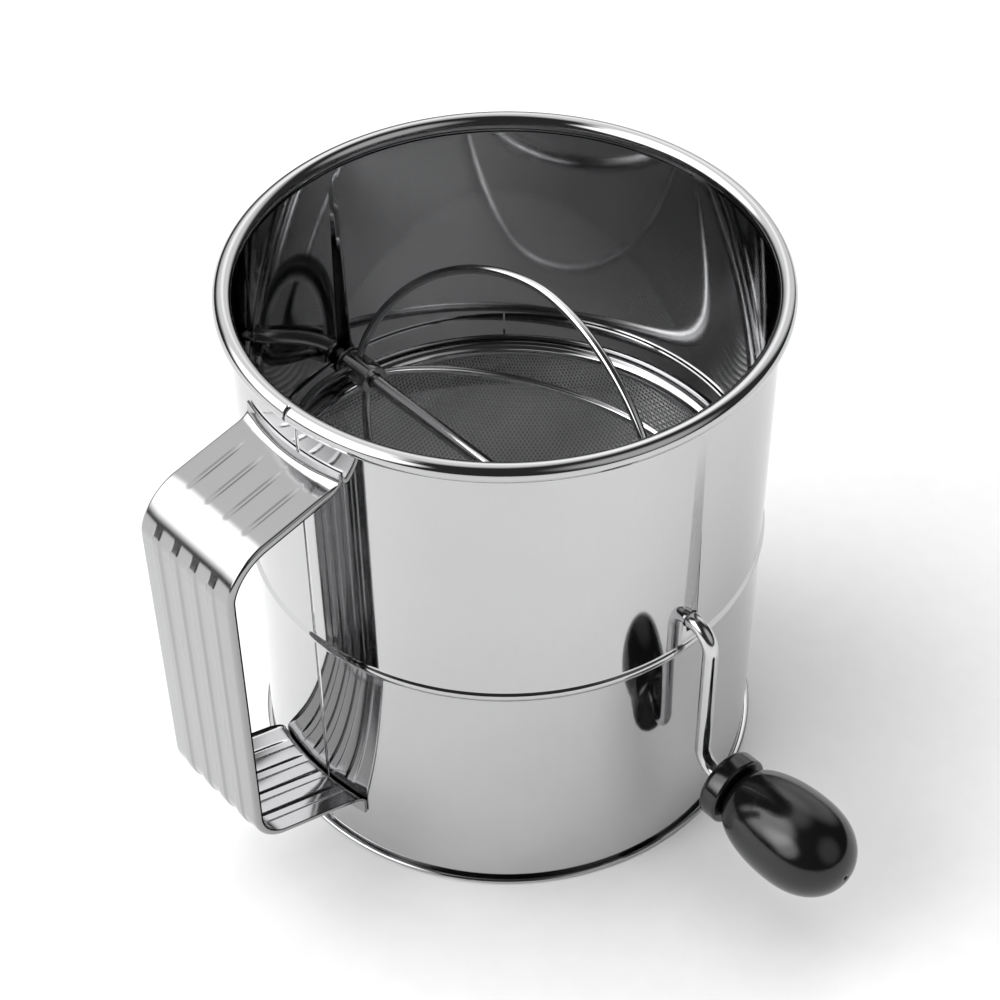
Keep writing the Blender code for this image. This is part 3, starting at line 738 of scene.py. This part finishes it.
def make_crank_rod():
    bend = CRANK_BEND
    path, radii = [], []
    for x, radius in headed(FAR_END, FAR_END + HEAD_THICKNESS, 1):
        path.append((x, 0))
        radii.append(radius)
    bends = (arc((ARM_X - bend, -bend), bend, 90, 0, 33)
             + arc((ARM_X + bend, bend - CRANK_THROW), bend, 180, 270, 33))
    path += bends
    radii += [SHAFT_RADIUS] * len(bends)
    for x, radius in headed(SPINDLE_END, SPINDLE_END - HEAD_THICKNESS, -1)[::-1]:
        path.append((x, -CRANK_THROW))
        radii.append(radius)
    places = [(CAN_X + x, CAN_Y, SHAFT_HEIGHT + z) for x, z in path]
    rod = tube("crank_rod_bent", places, radii, 48)
    return place_piece(rod, "crank", "crank_rod",
                       steel("rod_steel", 0.6, (0.08, 0.16)))


def hoop_direction(index):
    angle = HOOP_LEAN + index * pi / 2
    return sin(angle), cos(angle)


def hoop_shift(index):
    return HOOP_STAGGER if index in (1, 2) else -HOOP_STAGGER


def make_hoop(index, stuff):
    side, up = hoop_direction(index)
    seat = SHAFT_RADIUS + 2 * FIT
    start = asin((seat / HOOP_REACH) ** (HOOP_POWER / 2))
    count = 161
    places = []
    for i in range(count):
        angle = start + (pi - 2 * start) * i / (count - 1)
        along = abs(cos(angle)) ** (2 / HOOP_POWER)
        x = hoop_shift(index) + HOOP_HALF_LENGTH * along * (1 if i < count / 2 else -1)
        reach = HOOP_REACH * sin(angle) ** (2 / HOOP_POWER)
        places.append(CRANK_AXIS + Vector((x, side * reach, up * reach)))
    hoop = tube(f"agitator_hoop_{index + 1}", places, [HOOP_WIRE / 2] * count, 20)
    return place_piece(hoop, "crank", f"agitator_wire_{index + 1}", stuff)


def make_hub(name, node, side):
    centre = side * HOOP_HALF_LENGTH
    half = (HUB_FAR[1] - HUB_FAR[0]) / 2
    bore = SHAFT_RADIUS + FIT
    round_off = 0.0006
    section = (arc((HUB_RADIUS - round_off, centre + half - round_off), round_off, 0, 90, 7)
               + [(bore, centre + half), (bore, centre - half)]
               + arc((HUB_RADIUS - round_off, centre - half + round_off), round_off, -90, 0, 7))
    hub = turned_along_x(name, section, CRANK_AXIS)
    cutters = []
    for index in range(4):
        y, z = hoop_direction(index)
        start = CRANK_AXIS + Vector((centre + hoop_shift(index), 0, 0))
        reach = [start, start + Vector((0, y, z)) * HUB_RADIUS * 1.5]
        cutters.append(tube("seat", reach, [HOOP_WIRE / 2 + HOOP_SEAT_GAP] * 2, 48))
    cut(hub, cutters)
    return place_piece(hub, "crank", node, steel(name + "_steel", 0.5, (0.12, 0.22)))


def make_washer(name, node, start, axis=CRANK_AXIS, radius=WASHER_RADIUS):
    bore = SHAFT_RADIUS + FIT
    edge = 0.00015
    section = (arc((radius - edge, start + WASHER_SHEET - edge), edge, 0, 90, 5)
               + [(bore, start + WASHER_SHEET), (bore, start)]
               + arc((radius - edge, start + edge), edge, -90, 0, 5))
    washer = turned_along_x(name, section, axis)
    return place_piece(washer, "crank", node,
                       steel(name + "_steel", 0.5, (0.15, 0.28)))


# ---------------------------------------------------------------- the knob
def make_collar(stuff):
    bore = SHAFT_RADIUS + RUNNING_FIT
    end = KNOB_START + COLLAR_LENGTH
    chamfer = COLLAR_CHAMFER
    edge = 0.0005
    section = ([(SPIGOT_RADIUS, end + SPIGOT_LENGTH), (SPIGOT_RADIUS, end)]
               + arc((COLLAR_RADIUS - 2 * edge, end - 2 * edge), 2 * edge, 90, 0, 9)
               + arc((COLLAR_RADIUS - chamfer, KNOB_START + chamfer), chamfer, 0, -90, 17)
               + [(bore, KNOB_START), (bore, end + SPIGOT_LENGTH)])
    collar = turned_along_x("knob_flange", section, KNOB_AXIS)
    return place_piece(collar, "knob", "knob_collar", stuff)


def grip_radius(share):
    neck = GRIP_NECK / GRIP_RADIUS
    if share > GRIP_BELLY:
        reach = (share - GRIP_BELLY) / (1 - GRIP_BELLY)
        return GRIP_RADIUS * sqrt(max(1 - reach ** 2.4, 0))
    reach = (GRIP_BELLY - share) / GRIP_BELLY
    return GRIP_RADIUS * (neck + (1 - neck) * sqrt(1 - reach ** 2))


def make_grip(stuff):
    length = KNOB_TIP - GRIP_START
    count = 90
    bore = SPIGOT_RADIUS + FIT
    cavity = SPINDLE_END - GRIP_START + HEAD_THICKNESS
    section = []
    for i in range(count + 1):
        share = (1 - cos(pi * i / count)) / 2
        radius = grip_radius(share)
        if share > 0.5 and radius < VENT_RADIUS:
            break
        section.append((radius, GRIP_START + length * share))
    tip = section[-1][1]
    section += [(VENT_RADIUS, tip - 0.0002), (VENT_RADIUS, GRIP_START + cavity + bore),
                (bore, GRIP_START + cavity), (bore, GRIP_START)]
    grip = turned_along_x("knob_handgrip", section, KNOB_AXIS, 128)
    return place_piece(grip, "knob", "knob_grip", stuff)


# ---------------------------------------------------------------- stage, light and camera
FLOOR_HALF = 6


def make_floor():
    half = FLOOR_HALF
    corners = [(-half, -half, 0), (half, -half, 0), (half, half, 0), (-half, half, 0)]
    floor = mesh_object("floor", corners, [(0, 1, 2, 3)])
    stuff, nodes, links, shader = new_material("pale_floor", (0.86, 0.86, 0.86), 0.6)
    grain = noise(nodes, links, 120, 4)
    links.new(tint(nodes, links, grain, (0.85, 0.85, 0.85), (0.87, 0.87, 0.87)),
              shader.inputs["Base Color"])
    floor.data.materials.append(stuff)


def direction(turn, elevation):
    """The unit vector at a turn about +Z from +X and an elevation, in degrees."""
    turn, elevation = radians(turn), radians(elevation)
    return Vector((cos(turn) * cos(elevation), sin(turn) * cos(elevation), sin(elevation)))


SOFT_LIGHTS = (
    # turn, elevation, half angle of the full light, half angle where it ends, radiance
    (-132, 39, 16, 37, 3.6),
    (-97, 29, 9, 26, 3.1),
    (168, 54, 14, 42, 1.2),
    (112, 30, 10, 36, 1.1),
    (10, 34, 10, 34, 0.6),
)
DIM_STUDIO = 0.04
OVERHEAD_SIZE = 2
OVERHEAD_HEIGHT = 2.5
OVERHEAD_WATTS = 24


def make_light():
    """A dim studio with far round lights whose edges fade, and a softbox over the floor.

    The softbox is left out of reflections, so that the open can stays dark inside.
    """
    world = bpy.data.worlds.new("studio")
    world.use_nodes = True
    nodes, links = world.node_tree.nodes, world.node_tree.links
    background = nodes["Background"]
    background.inputs["Color"].default_value = (1, 1, 1, 1)
    where = nodes.new("ShaderNodeTexCoord")
    total = None
    for turn, elevation, full, end, radiance in SOFT_LIGHTS:
        towards = nodes.new("ShaderNodeVectorMath")
        towards.operation = "DOT_PRODUCT"
        towards.inputs[1].default_value = direction(turn, elevation)
        links.new(where.outputs["Generated"], towards.inputs[0])
        fade = nodes.new("ShaderNodeMapRange")
        fade.interpolation_type = "SMOOTHSTEP"
        fade.inputs["From Min"].default_value = cos(radians(end))
        fade.inputs["From Max"].default_value = cos(radians(full))
        fade.inputs["To Max"].default_value = radiance
        links.new(towards.outputs["Value"], fade.inputs["Value"])
        add = nodes.new("ShaderNodeMath")
        links.new(fade.outputs["Result"], add.inputs[0])
        add.inputs[1].default_value = DIM_STUDIO
        if total is not None:
            links.new(total, add.inputs[1])
        total = add.outputs["Value"]
    links.new(total, background.inputs["Strength"])
    bpy.context.scene.world = world

    data = bpy.data.lights.new("overhead", "AREA")
    data.size = OVERHEAD_SIZE
    data.energy = OVERHEAD_WATTS
    overhead = bpy.data.objects.new("overhead", data)
    overhead.location = CAN_AXIS + Vector((0, 0, OVERHEAD_HEIGHT))
    overhead.visible_glossy = False
    bpy.context.scene.collection.objects.link(overhead)
    bpy.context.scene.view_settings.view_transform = "Standard"


CAMERA_TURN = radians(48.5)
CAMERA_ELEVATION = radians(43.668)
CAMERA_ROLL = radians(-0.608)
CAMERA_DISTANCE = 0.6868
CAMERA_LENS = 79.86
CAMERA_AIM = Vector((-0.0013, -0.0015, 0.0882))


def make_camera():
    data = bpy.data.cameras.new("camera")
    data.sensor_width = 36
    data.lens = CAMERA_LENS
    camera = bpy.data.objects.new("camera", data)
    bpy.context.scene.collection.objects.link(camera)
    turn = (Matrix.Rotation(CAMERA_TURN, 4, "Z")
            @ Matrix.Rotation(pi / 2 - CAMERA_ELEVATION, 4, "X")
            @ Matrix.Rotation(CAMERA_ROLL, 4, "Z"))
    aim = CAN_AXIS + CAMERA_AIM
    camera.matrix_world = Matrix.Translation(aim) @ turn @ Matrix.Translation((0, 0, CAMERA_DISTANCE))
    bpy.context.scene.camera = camera


make_body_shell()
frame["nodes"]["rim_wire"].data.materials.clear()
frame["nodes"]["rim_wire"].data.materials.append(steel("rim_wire_steel", 0.6, (0.2, 0.35)))
make_screen_ring()
make_screen_band()
make_screen_mesh()
make_handle_strap()

make_crank_rod()
HOOP_STEEL = steel("hoop_steel", 0.6, (0.08, 0.16))
for hoop in range(4):
    make_hoop(hoop, HOOP_STEEL)
make_hub("hoop_hub_near", "hub_near", 1)
make_hub("hoop_hub_far", "hub_far", -1)
for washer in ("thrust_washer_near", "thrust_washer_far", "end_washer"):
    make_washer(washer + "_disc", washer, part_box(washer)[0][0] - CAN_X)
make_washer("knob_washer_disc", "knob_washer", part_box("knob_washer")[0][0] - CAN_X, KNOB_AXIS,
            SPIGOT_RADIUS - FIT)
KNOB_PLASTIC = black_plastic("knob_plastic")
make_collar(KNOB_PLASTIC)
make_grip(KNOB_PLASTIC)

make_floor()
make_light()
make_camera()
